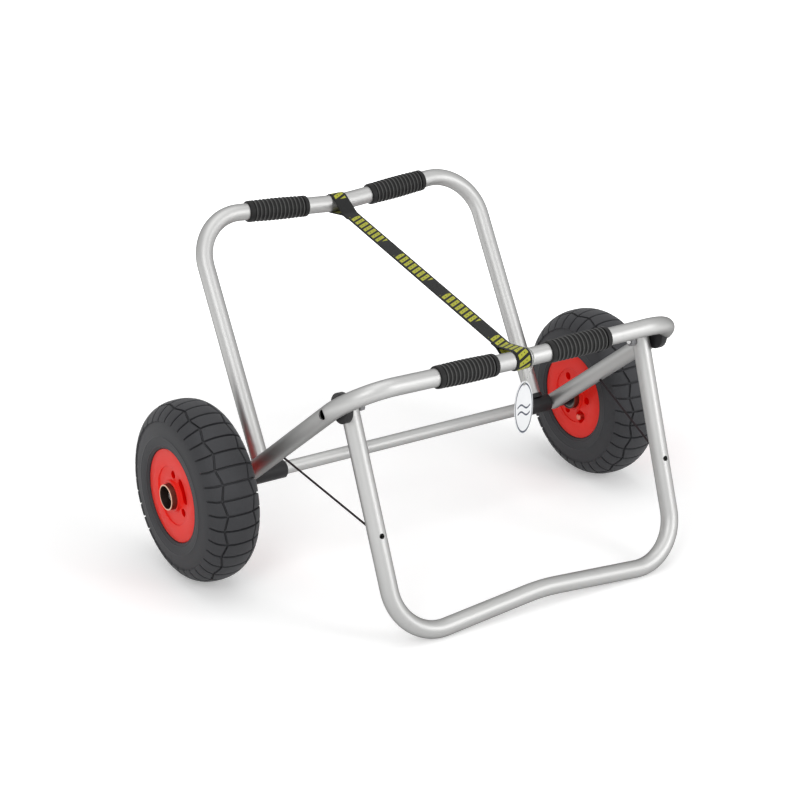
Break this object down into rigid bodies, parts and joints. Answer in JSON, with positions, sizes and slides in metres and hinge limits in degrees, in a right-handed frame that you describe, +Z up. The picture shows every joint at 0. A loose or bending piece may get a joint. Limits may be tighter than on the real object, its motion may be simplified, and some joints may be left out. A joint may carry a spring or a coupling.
{
  "type": "kayak cart",
  "caption": "Folding kayak cart: two bent tube hoops hinged on an axle and held apart by a strap, a folding stand, padded bars and pneumatic wheels.",
  "frame": {"origin": "on the floor, below the centre of the bounding box of the cart as it stands", "axes": "+X along the axle to the right-hand wheel, +Y from the front bar and stand to the rear bar, +Z up"},
  "size_m": [0.795, 0.562, 0.4708],
  "materials": {
    "tube_aluminium": "satin anodised",
    "bright_steel": "zinc plated",
    "black_plastic": "moulded",
    "red_plastic": "moulded",
    "grip_rubber": "ribbed",
    "tyre_rubber": "matt",
    "tube_rubber": "matt",
    "webbing": "woven polyester",
    "cord": "braided",
    "tag_plastic": "glossy card",
    "clear_nylon": "translucent"
  },
  "bodies": {
    "main_frame": {"rear_hoop": "tube_aluminium", "axle_tube": "tube_aluminium", "axle_sleeve_left": "black_plastic", "axle_sleeve_right": "black_plastic", "spindle_left": "bright_steel", "spindle_right": "bright_steel", "rear_grip_left": "grip_rubber", "rear_grip_right": "grip_rubber", "leg_rivet_left": "bright_steel", "leg_rivet_right": "bright_steel", "wheel_spacer_left": "black_plastic", "wheel_spacer_right": "black_plastic", "wheel_washer_left": "bright_steel", "wheel_washer_right": "bright_steel", "wheel_bolt_left": "bright_steel", "wheel_bolt_right": "bright_steel", "tension_strap": "webbing"},
    "front_frame": {"front_hoop": "tube_aluminium", "front_leg_plug_left": "tube_aluminium", "front_leg_plug_right": "tube_aluminium", "front_grip_left": "grip_rubber", "front_grip_right": "grip_rubber", "pivot_disc_left": "black_plastic", "pivot_disc_right": "black_plastic", "pivot_bolt_left": "bright_steel", "pivot_bolt_right": "bright_steel", "pivot_nut_left": "bright_steel", "pivot_nut_right": "bright_steel"},
    "stand": {"stand_hoop": "tube_aluminium", "stand_leg_plug_left": "black_plastic", "stand_leg_plug_right": "black_plastic", "check_cord_left": "cord", "check_cord_right": "cord"},
    "tag": {"swing_tag": "tag_plastic", "tag_string": "clear_nylon"},
    "left_wheel": {"tyre_left": "tyre_rubber", "inner_tube_left": "tube_rubber", "rim_outer_left": "red_plastic", "rim_inner_left": "red_plastic", "hub_tube_left": "bright_steel", "bearing_inner_left": "bright_steel", "bearing_outer_left": "bright_steel", "bearing_spacer_left": "bright_steel", "valve_stem_left": "tube_rubber", "valve_cap_left": "bright_steel"},
    "right_wheel": {"tyre_right": "tyre_rubber", "inner_tube_right": "tube_rubber", "rim_outer_right": "red_plastic", "rim_inner_right": "red_plastic", "hub_tube_right": "bright_steel", "bearing_inner_right": "bright_steel", "bearing_outer_right": "bright_steel", "bearing_spacer_right": "bright_steel", "valve_stem_right": "tube_rubber", "valve_cap_right": "bright_steel"}
  },
  "joints": [
    {"name": "frame_fold", "type": "hinge", "parent": "main_frame", "child": "front_frame", "pos_m": [0, 0.07862, 0.13], "axis": [-1, 0, 0], "range_deg": [0, 77], "deforming": ["tension_strap"]},
    {"name": "stand_fold", "type": "hinge", "parent": "front_frame", "child": "stand", "pos_m": [0, -0.15969, 0.30893], "axis": [1, 0, 0], "range_deg": [0, 67.5], "deforming": ["check_cord_left", "check_cord_right"]},
    {"name": "left_wheel_spin", "type": "hinge", "parent": "main_frame", "child": "left_wheel", "pos_m": [-0.349, 0.07862, 0.13], "axis": [1, 0, 0], "continuous": true},
    {"name": "right_wheel_spin", "type": "hinge", "parent": "main_frame", "child": "right_wheel", "pos_m": [0.349, 0.07862, 0.13], "axis": [1, 0, 0], "continuous": true},
    {"name": "tag_swing", "type": "hinge", "parent": "front_frame", "child": "tag", "pos_m": [0.0135, -0.20333, 0.34169], "axis": [1, 0, 0], "range_deg": [-60, 60]}
  ]
}
